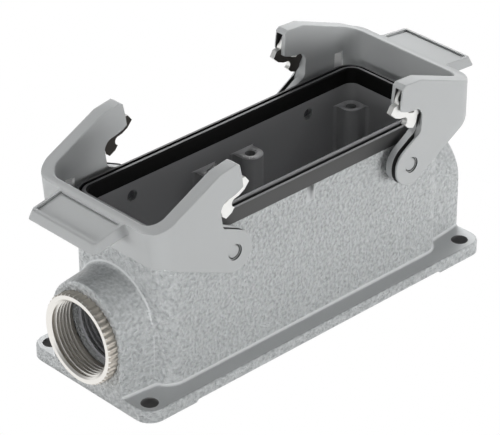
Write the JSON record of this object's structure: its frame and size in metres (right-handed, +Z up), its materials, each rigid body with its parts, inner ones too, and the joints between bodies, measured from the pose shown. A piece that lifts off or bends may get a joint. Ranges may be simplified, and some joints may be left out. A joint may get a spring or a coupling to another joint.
{
  "type": "rectangular connector base housing",
  "caption": "Surface mounting base housing of a heavy duty rectangular connector, with two locking levers, a rim seal and a side cable entry",
  "frame": {"origin": "centre of the base hole pattern, on the underside of the four corner pads", "axes": "+X along the long side away from the cable entry, +Y across to the far long side, +Z up from the mounting face to the open rim"},
  "size_m": [0.1568, 0.0544, 0.0736],
  "materials": {
    "housing_paint": "textured light grey powder coat on a zinc or aluminium die casting",
    "lever_paint": "smooth light grey powder coat",
    "seal_rubber": "moulded, slightly shiny",
    "ring_nickel": "bright nickel plate",
    "spring_steel": "bright stainless steel",
    "pin_steel": "plain steel"
  },
  "bodies": {
    "base": {"housing": "housing_paint", "rim_seal": "seal_rubber", "cable_entry_ring": "ring_nickel", "left_near_pivot_pin": "pin_steel", "left_far_pivot_pin": "pin_steel", "right_near_pivot_pin": "pin_steel", "right_far_pivot_pin": "pin_steel"},
    "left_lever_body": {"left_lever": "lever_paint", "left_near_latch_spring": "spring_steel", "left_far_latch_spring": "spring_steel"},
    "right_lever_body": {"right_lever": "lever_paint", "right_near_latch_spring": "spring_steel", "right_far_latch_spring": "spring_steel"}
  },
  "joints": [
    {"name": "left_lever_hinge", "type": "hinge", "parent": "base", "child": "left_lever_body", "pos_m": [-0.0367, 0, 0.045], "axis": [0, 1, 0], "range_deg": [-23, 20]},
    {"name": "right_lever_hinge", "type": "hinge", "parent": "base", "child": "right_lever_body", "pos_m": [0.0367, 0, 0.045], "axis": [0, 1, 0], "range_deg": [-15, 28]}
  ]
}
